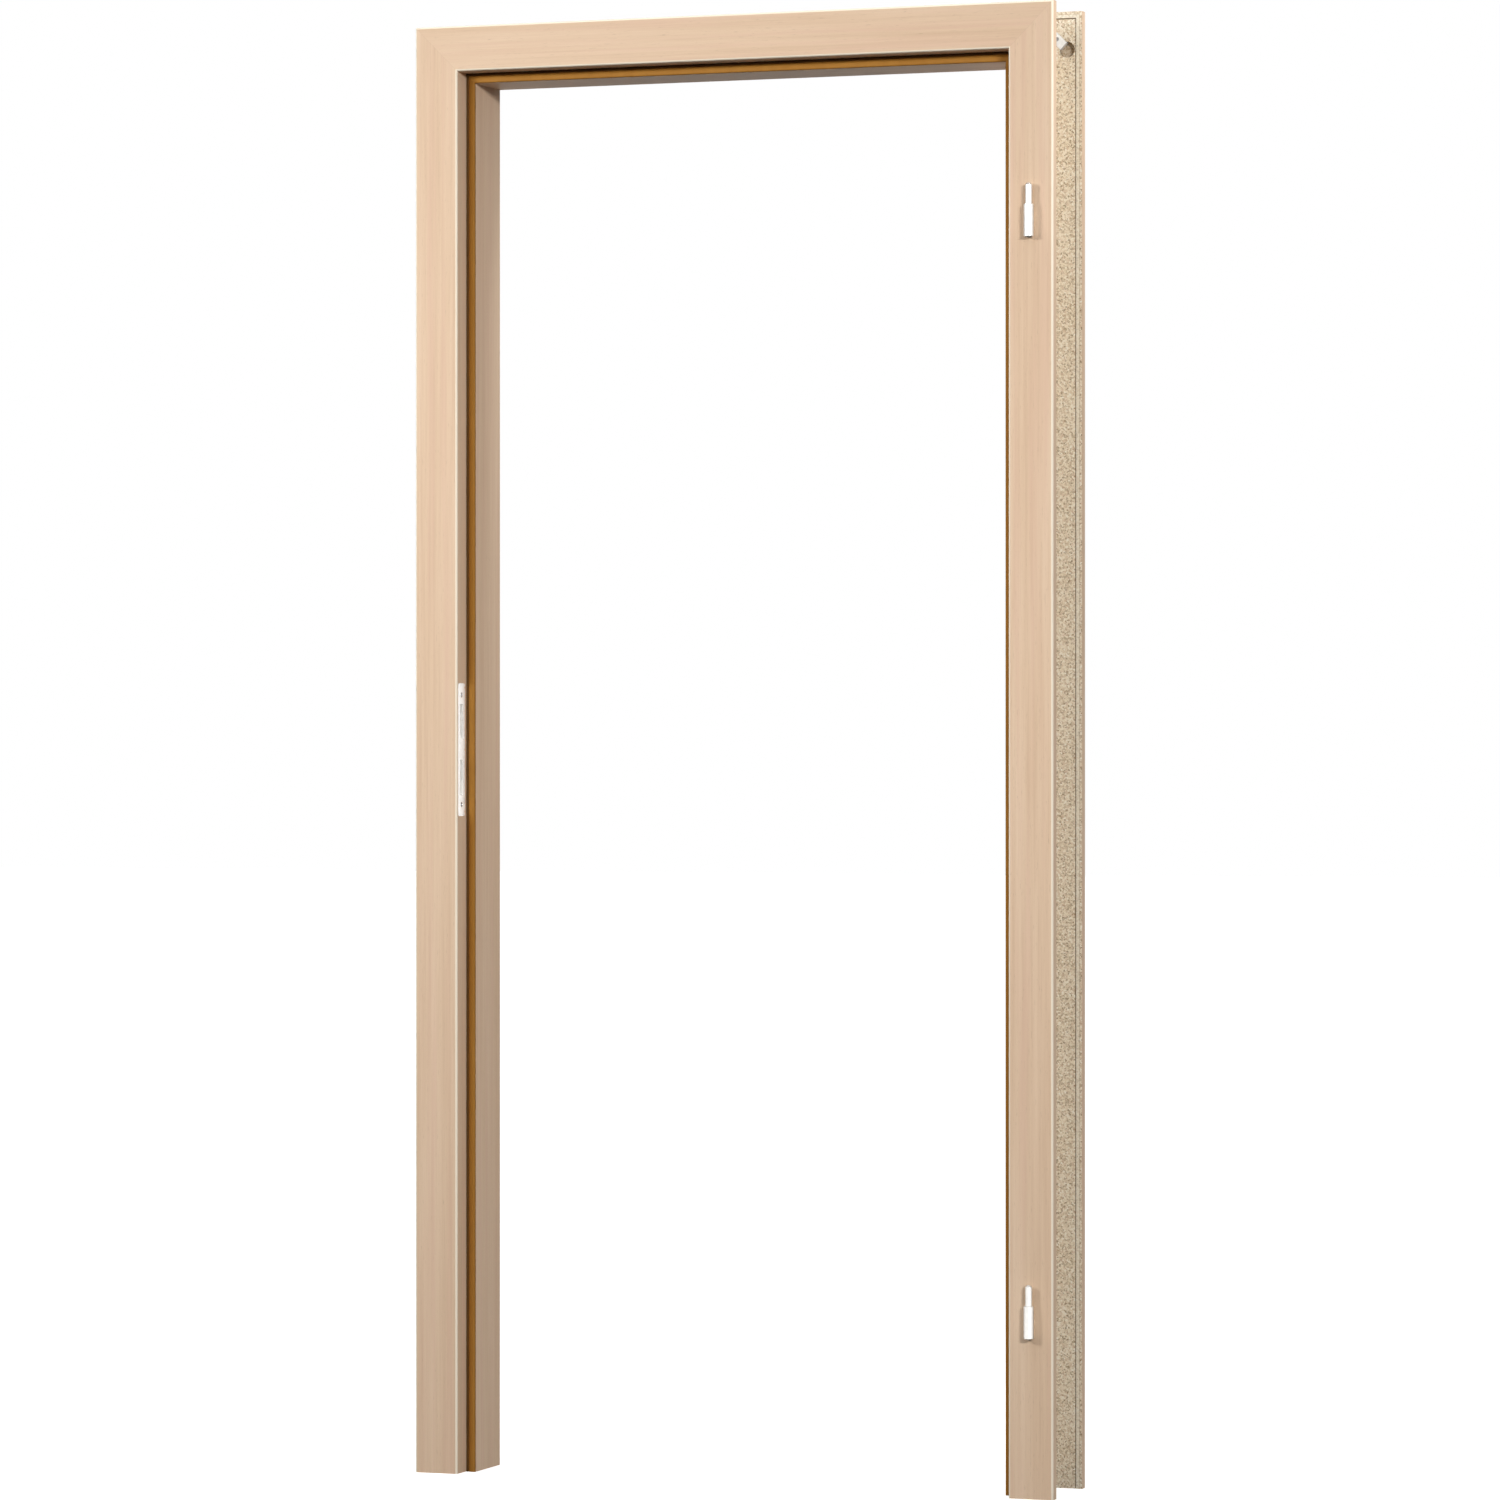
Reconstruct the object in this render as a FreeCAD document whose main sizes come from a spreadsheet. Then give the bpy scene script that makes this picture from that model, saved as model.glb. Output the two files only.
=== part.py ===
import FreeCAD, Part
import os
import re

import Sketcher

# A door frame for a finished wall: two mitred rings of casing clasp the wall, and a lining joins
# them through the opening. X runs to the right, Y from the hinge face to the back and Z up.
# The origin is the middle of the footprint, on the floor. Sizes are in millimetres.

SIZES = {
    # Clear passage between the linings
    "passage_width": 800,
    "passage_height": 2000,
    # Rebate that takes the door leaf
    "rebate_step": 15,
    "rebate_depth": 35,
    # Casing boards, the same at the front and the back
    "casing_width": 65,
    "casing_depth": 16,
    "board_thickness": 14.5,
    "rim_width": 9,
    "rim_groove_width": 1.4,
    "rim_groove_depth": 1.5,
    "edge_radius": 3,
    # Wall between the two rims, with the back casing at rest
    "wall_thickness": 123,
    # Lining boards
    "lining_thickness": 28,
    "lining_setback": 13,
    "lining_edge_radius": 1,
    # Tongue that glues the front casing into the lining
    "glue_tongue_thickness": 6,
    "glue_tongue_length": 12,
    "glue_play": 0.1,
    # Tongue on which the back casing slides to suit the wall
    "slide_tongue_thickness": 7,
    "slide_tongue_reach": 22,
    "slide_inward": 8,
    "slide_play": 0.15,
    "slide_end_gap": 1,
    # Rebate seal
    "seal_proud": 4,
    "seal_gap": 0.3,
    "seal_lip_width": 3.5,
    "seal_lip_drop": 2,
    "seal_radius": 1.2,
    "seal_groove_inset": 6,
    "seal_groove_width": 3,
    "seal_groove_depth": 8,
    "seal_stem_thickness": 2.4,
    "seal_stem_gap": 0.5,
    "seal_barb_play": 0.02,
    # Strike plate on the left rebate side
    "strike_height": 1040.5,
    "strike_length": 191,
    "strike_width": 24,
    "strike_thickness": 2.2,
    "strike_inset": 16.5,
    "strike_proud": 0.3,
    "strike_corner_radius": 3.5,
    "strike_play": 0.2,
    "strike_screw_inset": 16.8,
    "strike_screw_length": 12,
    "slot_inset": 30,
    "slot_width": 12,
    "slot_bridge": 29,
    "slot_corner_radius": 1.5,
    "notch_radius": 1.8,
    "notch_inset": 6,
    "mortise_margin": 1,
    "mortise_depth": 16,
    # Hinge frame parts on the right casing
    "hinge_foot": 269,
    "hinge_drop": 217.5,
    "hinge_standoff": 8.7,
    "knuckle_diameter": 14.3,
    "knuckle_length": 45.4,
    "knuckle_chamfer": 0.6,
    "pin_diameter": 9.9,
    "pin_length": 29,
    "pin_tip_length": 2.5,
    "pin_tip_diameter": 5.6,
    "pin_seat_length": 32,
    "pin_seat_diameter": 10.4,
    "pin_collar": 0.5,
    "pin_play": 0.02,
    "shank_diameter": 10,
    "shank_play": 0.05,
    "shank_hole_play": 0.2,
    # Hinge receivers behind the right casing
    "receiver_length": 62,
    "receiver_reach": 14,
    "receiver_setback": 0.5,
    "receiver_floor": 6,
    "receiver_play": 0.3,
    "receiver_leg_reach": 50,
    "receiver_leg_thickness": 3,
    "receiver_screw_inset": 31,
    "clamp_screw_diameter": 6,
    "clamp_screw_length": 10,
    "clamp_screw_gap": 0.1,
    "clamp_socket_radius": 1.7,
    "clamp_socket_depth": 3,
    "clamp_play": 0.05,
    "access_play": 0.3,
    # Wood screws with countersunk heads
    "screw_diameter": 4,
    "screw_head_diameter": 7.6,
    "screw_head_length": 2,
    "screw_play": 0.05,
    "screw_length": 20,
    # Connectors across the casing mitres
    "connector_offset": 14,
    "connector_spread": 43.4,
    "connector_pocket_diameter": 22.5,
    "connector_pocket_floor": 2.5,
    "connector_channel_floor": 4,
    "connector_length": 27.6,
    "connector_width": 14.3,
    "connector_chamfer": 0.5,
    "connector_play": 0.1,
    "connector_recess": 0.5,
    "wedge_screw_length": 7,
    "wedge_screw_sink": 0.6,
    "mark_length": 7,
    "mark_width": 1,
    "mark_depth": 0.5,
    "mark_spacing": 17,
    # Dowels in the lining's corners
    "dowel_diameter": 8,
    "dowel_length": 24,
    "dowel_margin": 7,
    "dowel_play": 0.05,
}

# Places that follow from the sizes. Across is measured outward from the lining's inner face, and
# depth from the front casing's face towards the back.
HALF_PASSAGE = "(passage_width / 2)"
HALF_REBATE = f"({HALF_PASSAGE} + rebate_step)"
OUTER_ACROSS = "(rebate_step + casing_width)"
HALF_OUTER = f"({HALF_PASSAGE} + {OUTER_ACROSS})"
FRAME_TOP = f"(passage_height + {OUTER_ACROSS})"
LINING_SIDE = f"({HALF_PASSAGE} + lining_thickness)"
BACK_RIM = "(casing_depth + wall_thickness)"
BACK_FACE = f"({BACK_RIM} + casing_depth)"
LINING_END = f"({BACK_RIM} - lining_setback)"
SLIDE_GROOVE_END = f"({LINING_END} - slide_tongue_reach - slide_inward - slide_end_gap)"
FRONT_PLANE = f"((hinge_standoff + knuckle_diameter / 2 - {BACK_FACE}) / 2)"
CUTTER_MARGIN = "5"

HINGE_X = f"({HALF_REBATE} + casing_width / 2)"
HINGE_TOP = "(passage_height + rebate_step - hinge_drop)"
HINGE_ENDS = {"top": HINGE_TOP, "bottom": "hinge_foot"}
STRIKE_SCREW_OFFSET = "(strike_length / 2 - strike_screw_inset)"
SLOT_LENGTH = "((strike_length - slot_bridge) / 2 - slot_inset)"
SLOT_OFFSET = f"((slot_bridge + {SLOT_LENGTH}) / 2)"
NOTCH_OFFSET = "(strike_length / 2 - notch_inset)"
CLAMP_DEPTH = "((receiver_floor + casing_depth - receiver_setback) / 2)"

CORNER_DOWEL_DEPTHS = (
    "(rebate_depth + glue_tongue_length + glue_play + dowel_margin)",
    f"({SLIDE_GROOVE_END} - dowel_margin)",
)

SIDES = {"left": -1, "right": 1}

document = FreeCAD.newDocument("DoorFrame")
sheet = document.addObject("Spreadsheet::Sheet", "Sizes")
for row, (alias, size) in enumerate(SIZES.items(), start=1):
    sheet.set(f"A{row}", alias)
    sheet.set(f"B{row}", str(size))
    sheet.setAlias(f"B{row}", alias)
document.recompute()

sub_parts = []


def cells(expression):
    """The expression with each alias written as a cell of the sheet."""
    return re.sub(r"[a-z]\w*", lambda word: ("Sizes." if word[0] in SIZES else "") + word[0], expression)


def number(expression):
    return float(sheet.evalExpression(cells(expression)))


def bind(item, name, expression):
    item.setExpression(name, cells(expression))


def new_body(label):
    """An empty sub-part that stands with its front casing plane at the right depth."""
    body = document.addObject("PartDesign::Body", label)
    body.Label = label
    bind(body, "Placement.Base.y", FRONT_PLANE)
    sub_parts.append(body)
    return body


def sketch_on(body, name, role, offset="0"):
    """A sketch on one of the body's origin planes, moved along that plane's normal."""
    sketch = body.newObject("Sketcher::SketchObject", name)
    plane = next(item for item in body.Origin.OriginFeatures if item.Role == role)
    sketch.AttachmentSupport = [(plane, "")]
    sketch.MapMode = "FlatFace"
    bind(sketch, "AttachmentOffset.Base.z", offset)
    return sketch


def add_outline(sketch, corners):
    """A closed outline whose corners are each bound to two expressions."""
    points = [FreeCAD.Vector(number(first), number(second), 0) for first, second in corners]
    first_line = sketch.GeometryCount
    lines = [first_line + index for index in range(len(points))]
    for start, end in zip(points, points[1:] + points[:1]):
        sketch.addGeometry(Part.LineSegment(start, end), False)
    for line, following in zip(lines, lines[1:] + lines[:1]):
        sketch.addConstraint(Sketcher.Constraint("Coincident", line, 2, following, 1))
    for line, point, corner in zip(lines, points, corners):
        across = sketch.addConstraint(Sketcher.Constraint("DistanceX", -1, 1, line, 1, point.x))
        bind(sketch, f"Constraints[{across}]", corner[0])
        along = sketch.addConstraint(Sketcher.Constraint("DistanceY", -1, 1, line, 1, point.y))
        bind(sketch, f"Constraints[{along}]", corner[1])


def pad(body, name, sketch, length, side="One side", backwards=False):
    feature = body.newObject("PartDesign::Pad", name)
    feature.Profile = sketch
    feature.SideType = side
    feature.Reversed = backwards
    bind(feature, "Length", length)
    return feature


def cut_through(body, name, sketch):
    """A pocket through everything, to both sides of its sketch."""
    feature = body.newObject("PartDesign::Pocket", name)
    feature.Profile = sketch
    feature.Type = "ThroughAll"
    feature.SideType = "Symmetric"
    return feature


def primitive(body, kind, name, start, direction, sizes):
    """A PartDesign primitive that starts at a place and runs in a direction."""
    feature = body.newObject(f"PartDesign::{kind}", name)
    turn = FreeCAD.Rotation(FreeCAD.Vector(0, 0, 1), FreeCAD.Vector(*direction))
    feature.Placement = FreeCAD.Placement(FreeCAD.Vector(), turn)
    for axis, place in zip("xyz", start):
        bind(feature, f"Placement.Base.{axis}", place)
    for size, expression in sizes.items():
        bind(feature, size, expression)
    return feature


def cylinder(body, name, start, direction, radius, length, cut=False):
    kind = "SubtractiveCylinder" if cut else "AdditiveCylinder"
    return primitive(body, kind, name, start, direction, {"Radius": radius, "Height": length})


def cone(body, name, start, direction, radii, length, cut=False):
    kind = "SubtractiveCone" if cut else "AdditiveCone"
    sizes = {"Radius1": radii[0], "Radius2": radii[1], "Height": length}
    return primitive(body, kind, name, start, direction, sizes)


def box(body, name, low, sizes, cut=False):
    kind = "SubtractiveBox" if cut else "AdditiveBox"
    return primitive(body, kind, name, low, (0, 0, 1), dict(zip(("Length", "Width", "Height"), sizes)))


def hexagon_socket(body, name, start, direction, radius, depth):
    feature = primitive(body, "SubtractivePrism", name, start, direction,
                        {"Circumradius": radius, "Height": depth})
    feature.Polygon = 6
    return feature


def edges_along(feature, axis, places):
    """Names of the straight edges along one axis that pass through any of the places."""
    document.recompute()
    across = [index for index in range(3) if index != axis]
    found = []
    for index, edge in enumerate(feature.Shape.Edges, start=1):
        start = edge.valueAt(edge.FirstParameter)
        end = edge.valueAt(edge.LastParameter)
        if any(abs(start[step] - end[step]) > 0.001 for step in across):
            continue
        for place in places:
            if all(abs(start[step] - place[step]) < 0.01 for step in across):
                found.append(f"Edge{index}")
                break
    return found


def circles_at(feature, axis, place, radius):
    """Names of the round edges of one radius in the plane at a place along an axis."""
    document.recompute()
    found = []
    for index, edge in enumerate(feature.Shape.Edges, start=1):
        if not isinstance(edge.Curve, Part.Circle) or abs(edge.Curve.Radius - radius) > 0.001:
            continue
        if abs(edge.Curve.Center[axis] - place) < 0.001:
            found.append(f"Edge{index}")
    return found


def round_off(body, name, base, edges, radius):
    feature = body.newObject("PartDesign::Fillet", name)
    feature.Base = (base, edges)
    bind(feature, "Radius", radius)
    return feature


def bevel(body, name, base, edges, size):
    feature = body.newObject("PartDesign::Chamfer", name)
    feature.Base = (base, edges)
    bind(feature, "Size", size)
    return feature


# Mitred rings

def mitre_cut(body, corners):
    sketch = sketch_on(body, "mitre_outline", "XZ_Plane")
    for outline in corners:
        add_outline(sketch, outline)
    cut_through(body, "mitre", sketch)


def mitre_line(side):
    """Two points on the mitre, one inside the lining's face and one outside the casing."""
    inner = (f"{side} * ({HALF_PASSAGE} - {CUTTER_MARGIN})", f"passage_height - {CUTTER_MARGIN}")
    outer = (f"{side} * ({HALF_OUTER} + {CUTTER_MARGIN})", f"{FRAME_TOP} + {CUTTER_MARGIN}")
    return inner, outer


def ring_jamb(label, side, outline, rounded, radius):
    """An upright board of a ring, mitred at its top."""
    body = new_body(label)
    sketch = sketch_on(body, "section", "XY_Plane")
    add_outline(sketch, [(f"{side} * ({HALF_PASSAGE} + {across})", depth) for across, depth in outline])
    board = pad(body, "board", sketch, FRAME_TOP)
    places = [(number(f"{side} * ({HALF_PASSAGE} + {across})"), number(depth), 0)
              for across, depth in rounded]
    round_off(body, "rounding", board, edges_along(board, 2, places), radius)
    inner, outer = mitre_line(side)
    mitre_cut(body, [[inner, outer, (inner[0], outer[1])]])
    return body


def ring_head(label, outline, rounded, radius):
    """The board of a ring that lies across the top, mitred at both ends."""
    body = new_body(label)
    sketch = sketch_on(body, "section", "YZ_Plane")
    add_outline(sketch, [(depth, f"passage_height + {across}") for across, depth in outline])
    board = pad(body, "board", sketch, f"2 * {HALF_OUTER}", side="Symmetric")
    places = [(0, number(depth), number(f"passage_height + {across}")) for across, depth in rounded]
    round_off(body, "rounding", board, edges_along(board, 0, places), radius)
    ends = []
    for side in SIDES.values():
        inner, outer = mitre_line(side)
        ends.append([inner, outer, (outer[0], inner[1])])
    mitre_cut(body, ends)
    return body


def ring(name, outline, rounded, radius):
    """The three boards of a ring, all cut from one section."""
    boards = {side: ring_jamb(f"{name}_{side}", sign, outline, rounded, radius)
              for side, sign in SIDES.items()}
    boards["head"] = ring_head(f"{name}_head", outline, rounded, radius)
    return boards


def front_casing_section():
    tongue_low = "(rebate_step + lining_thickness - glue_tongue_thickness) / 2"
    tongue_high = "(rebate_step + lining_thickness + glue_tongue_thickness) / 2"
    tongue_end = "rebate_depth + glue_tongue_length"
    return [
        ("rebate_step", "0"),
        (OUTER_ACROSS, "0"),
        (OUTER_ACROSS, "casing_depth"),
        (f"{OUTER_ACROSS} - rim_width", "casing_depth"),
        (f"{OUTER_ACROSS} - rim_width", "board_thickness - rim_groove_depth"),
        (f"{OUTER_ACROSS} - rim_width - rim_groove_width", "board_thickness - rim_groove_depth"),
        (f"{OUTER_ACROSS} - rim_width - rim_groove_width", "board_thickness"),
        ("lining_thickness", "board_thickness"),
        ("lining_thickness", "rebate_depth"),
        (tongue_high, "rebate_depth"),
        (tongue_high, tongue_end),
        (tongue_low, tongue_end),
        (tongue_low, "rebate_depth"),
        ("rebate_step", "rebate_depth"),
    ]


def back_casing_section():
    field = f"{BACK_FACE} - board_thickness"
    tongue_outside = "rebate_step + slide_tongue_thickness"
    tongue_end = f"{LINING_END} - slide_tongue_reach"
    return [
        ("rebate_step", BACK_FACE),
        (OUTER_ACROSS, BACK_FACE),
        (OUTER_ACROSS, BACK_RIM),
        (f"{OUTER_ACROSS} - rim_width", BACK_RIM),
        (f"{OUTER_ACROSS} - rim_width", f"{field} + rim_groove_depth"),
        (f"{OUTER_ACROSS} - rim_width - rim_groove_width", f"{field} + rim_groove_depth"),
        (f"{OUTER_ACROSS} - rim_width - rim_groove_width", field),
        (tongue_outside, field),
        (tongue_outside, tongue_end),
        ("rebate_step", tongue_end),
    ]


def lining_section():
    groove_low = "seal_groove_inset - seal_groove_width / 2"
    groove_high = "seal_groove_inset + seal_groove_width / 2"
    groove_end = "rebate_depth + seal_groove_depth"
    glue_low = "(rebate_step + lining_thickness - glue_tongue_thickness) / 2 - glue_play"
    glue_high = "(rebate_step + lining_thickness + glue_tongue_thickness) / 2 + glue_play"
    glue_end = "rebate_depth + glue_tongue_length + glue_play"
    slide_low = "rebate_step - slide_play"
    slide_high = "rebate_step + slide_tongue_thickness + slide_play"
    return [
        ("0", "rebate_depth"),
        (groove_low, "rebate_depth"),
        (groove_low, groove_end),
        (groove_high, groove_end),
        (groove_high, "rebate_depth"),
        (glue_low, "rebate_depth"),
        (glue_low, glue_end),
        (glue_high, glue_end),
        (glue_high, "rebate_depth"),
        ("lining_thickness", "rebate_depth"),
        ("lining_thickness", LINING_END),
        (slide_high, LINING_END),
        (slide_high, SLIDE_GROOVE_END),
        (slide_low, SLIDE_GROOVE_END),
        (slide_low, LINING_END),
        ("0", LINING_END),
    ]


SEAL_FRONT = "(rebate_depth - seal_proud)"
SEAL_LIP = "(rebate_step - seal_lip_width)"


def seal_section():
    """A flat head with a lower lip along the rebate side, and a barbed stem in the groove."""
    stem = "seal_stem_thickness / 2"
    barb = "(seal_groove_width / 2 - seal_barb_play)"
    lip_front = f"({SEAL_FRONT} + seal_lip_drop)"
    stem_end = "rebate_depth + seal_groove_depth - seal_stem_gap"
    barb_front = "rebate_depth + seal_groove_depth / 3"
    barb_back = "rebate_depth + seal_groove_depth * 2 / 3"
    return [
        ("seal_gap", SEAL_FRONT),
        (SEAL_LIP, SEAL_FRONT),
        (SEAL_LIP, lip_front),
        ("(rebate_step - seal_gap)", lip_front),
        ("(rebate_step - seal_gap)", "rebate_depth"),
        (f"(seal_groove_inset + {stem})", "rebate_depth"),
        (f"(seal_groove_inset + {stem})", barb_front),
        (f"(seal_groove_inset + {barb})", barb_front),
        (f"(seal_groove_inset + {stem})", barb_back),
        (f"(seal_groove_inset + {stem})", stem_end),
        (f"(seal_groove_inset - {stem})", stem_end),
        (f"(seal_groove_inset - {stem})", barb_back),
        (f"(seal_groove_inset - {barb})", barb_front),
        (f"(seal_groove_inset - {stem})", barb_front),
        (f"(seal_groove_inset - {stem})", "rebate_depth"),
        ("seal_gap", "rebate_depth"),
    ]


# Connectors across the casing mitres

def connector_middle(side):
    """X and Z of the middle of a connector, on the mitre."""
    offset = "lining_thickness + connector_offset"
    return f"{side} * ({HALF_PASSAGE} + {offset})", f"(passage_height + {offset})"


def layer_start(layer, near, far):
    """Depth at which a slab starts that lies between two distances from a casing's own face."""
    return near if layer == "front" else f"{BACK_FACE} - {far}"


def slanted_box(body, name, side, layer, length, width, near, far, cut):
    """A box that lies across the mitre, between two distances from the casing's face."""
    middle_x, middle_z = connector_middle(side)
    start = (
        f"{middle_x} - ({length} + {side} * ({width})) / 2 / sqrt(2)",
        layer_start(layer, near, far),
        f"{middle_z} + ({side} * ({length}) - ({width})) / 2 / sqrt(2)",
    )
    feature = box(body, name, start, (length, f"({far}) - ({near})", width), cut)
    feature.Placement.Rotation = FreeCAD.Rotation(FreeCAD.Vector(0, 1, 0), 45 * side)
    return feature


def seat_connector(board, side, layer, piece):
    """The channel and the round pocket that one end of a connector needs in a board."""
    middle_x, middle_z = connector_middle(side)
    towards_jamb = 1 if piece == "jamb" else -1
    slanted_box(board, "connector_channel", side, layer, "connector_spread",
                "connector_width + 2 * connector_play", "connector_channel_floor", "board_thickness", True)
    step = "connector_spread / 2 / sqrt(2)"
    centre = (
        f"{middle_x} + {towards_jamb * side} * {step}",
        layer_start(layer, "connector_pocket_floor", "board_thickness"),
        f"{middle_z} - {towards_jamb} * {step}",
    )
    cylinder(board, "connector_pocket", centre, (0, 1, 0), "connector_pocket_diameter / 2",
             "board_thickness - connector_pocket_floor", cut=True)


def mitre_connector(layer, side_name):
    """A cast bar with a tapped hole for its wedge screw and two shallow marks."""
    side = SIDES[side_name]
    outside = layer == "back"
    body = new_body(f"mitre_connector_{layer}_{side_name}")
    top = "(board_thickness - connector_recess)"
    bar = slanted_box(body, "bar", side, layer, "connector_length", "connector_width",
                      "connector_channel_floor", top, False)
    document.recompute()
    top_depth = number(f"{BACK_FACE} - {top}" if outside else top)
    edges = [f"Edge{index}" for index, edge in enumerate(bar.Shape.Edges, start=1)
             if all(abs(point.Point.y - top_depth) < 0.001 for point in edge.Vertexes)]
    bevel(body, "chamfer", bar, edges, "connector_chamfer")
    middle_x, middle_z = connector_middle(side)
    inward = (0, 1, 0) if outside else (0, -1, 0)
    start = (middle_x, f"{BACK_FACE} - {top}" if outside else top, middle_z)
    cylinder(body, "screw_hole", start, inward, "clamp_screw_diameter / 2 + clamp_play",
             "wedge_screw_sink + wedge_screw_length", cut=True)
    for place in (-1, 1):
        mark = slanted_box(body, "mark", side, layer, "mark_width", "mark_length",
                           f"{top} - mark_depth", top, True)
        shift = f"{place} * mark_spacing / 2 / sqrt(2)"
        bind(mark, "Placement.Base.x",
             f"{middle_x} + {shift} - (mark_width + {side} * mark_length) / 2 / sqrt(2)")
        bind(mark, "Placement.Base.z",
             f"{middle_z} - {side} * {shift} + ({side} * mark_width - mark_length) / 2 / sqrt(2)")
    return body


def socket_screw(body, start, direction, length):
    """A headless screw with a hexagon socket at its start."""
    cylinder(body, "thread", start, direction, "clamp_screw_diameter / 2", length)
    hexagon_socket(body, "socket", start, direction, "clamp_socket_radius", "clamp_socket_depth")


def wedge_screws(layer):
    body = new_body(f"wedge_screws_{layer}")
    outside = layer == "back"
    sink = "(board_thickness - connector_recess - wedge_screw_sink)"
    for side in SIDES.values():
        middle_x, middle_z = connector_middle(side)
        start = (middle_x, f"{BACK_FACE} - {sink}" if outside else sink, middle_z)
        socket_screw(body, start, (0, 1, 0) if outside else (0, -1, 0), "wedge_screw_length")
    return body


# Wood screws

def wood_screw(body, start, direction, length):
    """A countersunk screw whose head's top lies at the start."""
    cone(body, "head", start, direction, ("screw_head_diameter / 2", "screw_diameter / 2"),
         "screw_head_length")
    cylinder(body, "shank", start, direction, "screw_diameter / 2", length)


def screw_hole(body, start, direction, length):
    cylinder(body, "screw_hole", start, direction, "screw_diameter / 2 + screw_play",
             f"{length} + screw_play", cut=True)


def countersink(body, start, direction):
    cone(body, "countersink", start, direction,
         ("screw_head_diameter / 2 + screw_play", "screw_diameter / 2 + screw_play"),
         "screw_head_length", cut=True)


# Strike plate

STRIKE_FACE = f"(strike_proud - {HALF_REBATE})"


def strike_screw_places():
    for place in (-1, 1):
        yield STRIKE_FACE, "strike_inset", f"strike_height + {place} * {STRIKE_SCREW_OFFSET}"


def plate_outline(margin):
    """The plate's four corners in depth and height, grown by a margin."""
    low = f"strike_inset - strike_width / 2 - {margin}"
    high = f"strike_inset + strike_width / 2 + {margin}"
    bottom = f"strike_height - strike_length / 2 - {margin}"
    top = f"strike_height + strike_length / 2 + {margin}"
    return [(low, bottom), (high, bottom), (high, top), (low, top)]


def slot_box(body, name, place, margin, high_x, depth):
    """A cut from the plate's face outward, as large as a slot and its margin."""
    low = (
        f"{high_x} - ({depth})",
        f"strike_inset - slot_width / 2 - {margin}",
        f"strike_height + {place} * {SLOT_OFFSET} - {SLOT_LENGTH} / 2 - {margin}",
    )
    sizes = (depth, f"slot_width + 2 * {margin}", f"{SLOT_LENGTH} + 2 * {margin}")
    return box(body, name, low, sizes, cut=True)


def strike_plate():
    body = new_body("strike_plate")
    sketch = sketch_on(body, "plate_outline", "YZ_Plane", STRIKE_FACE)
    add_outline(sketch, plate_outline("0"))
    plate = pad(body, "plate", sketch, "strike_thickness", backwards=True)
    corners = [(0, number(depth), number(height)) for depth, height in plate_outline("0")]
    round_off(body, "corners", plate, edges_along(plate, 0, corners), "strike_corner_radius")
    slot_corners = []
    for place in (-1, 1):
        slots = slot_box(body, "slot", place, "0", STRIKE_FACE, "strike_thickness")
        for across in (-1, 1):
            for along in (-1, 1):
                depth = number(f"strike_inset + {across} * slot_width / 2")
                middle = f"strike_height + {place} * {SLOT_OFFSET}"
                slot_corners.append((0, depth, number(f"{middle} + {along} * {SLOT_LENGTH} / 2")))
    round_off(body, "slot_corners", slots, edges_along(slots, 0, slot_corners), "slot_corner_radius")
    for start in strike_screw_places():
        screw_hole(body, start, (-1, 0, 0), "strike_thickness")
        countersink(body, start, (-1, 0, 0))
    for place in (-1, 0, 1):
        start = (STRIKE_FACE, "strike_inset + strike_width / 2",
                 f"strike_height + {place} * {NOTCH_OFFSET}")
        cylinder(body, "notch", start, (-1, 0, 0), "notch_radius", "strike_thickness", cut=True)
    return body


def seat_strike(board):
    """The plate's recess, and the mortises behind its slots."""
    sketch = sketch_on(board, "recess_outline", "YZ_Plane", f"-{HALF_REBATE}")
    add_outline(sketch, plate_outline("strike_play"))
    recess = board.newObject("PartDesign::Pocket", "recess")
    recess.Profile = sketch
    bind(recess, "Length", "strike_thickness - strike_proud")
    corners = [(0, number(depth), number(height)) for depth, height in plate_outline("strike_play")]
    round_off(board, "recess_corners", recess, edges_along(recess, 0, corners), "strike_corner_radius")
    for place in (-1, 1):
        slot_box(board, "mortise", place, "mortise_margin", f"-{HALF_REBATE}", "mortise_depth")
    for start in strike_screw_places():
        screw_hole(board, start, (-1, 0, 0), "strike_screw_length")


def strike_plate_screws():
    body = new_body("strike_plate_screws")
    for start in strike_screw_places():
        wood_screw(body, start, (-1, 0, 0), "strike_screw_length")
    return body


# Hinge frame parts

def hinge_middle(end):
    return f"({HINGE_ENDS[end]} - knuckle_length / 2)"


def hinge_knuckle(end):
    """A turned barrel bored for its pin, with a shank that goes through the casing."""
    body = new_body(f"hinge_knuckle_{end}")
    bottom = (HINGE_X, "-hinge_standoff", f"{HINGE_ENDS[end]} - knuckle_length")
    barrel = cylinder(body, "barrel", bottom, (0, 0, 1), "knuckle_diameter / 2", "knuckle_length")
    radius = number("knuckle_diameter / 2")
    rims = circles_at(barrel, 2, number(HINGE_ENDS[end]), radius)
    rims += circles_at(barrel, 2, number(f"{HINGE_ENDS[end]} - knuckle_length"), radius)
    bevel(body, "chamfer", barrel, rims, "knuckle_chamfer")
    cylinder(body, "shank", (HINGE_X, "-hinge_standoff", hinge_middle(end)), (0, 1, 0),
             "shank_diameter / 2", "hinge_standoff + casing_depth - receiver_setback")
    cylinder(body, "bore", (HINGE_X, "-hinge_standoff", HINGE_ENDS[end]), (0, 0, -1),
             "pin_seat_diameter / 2 + pin_play", "pin_seat_length + pin_play", cut=True)
    return body


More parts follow.
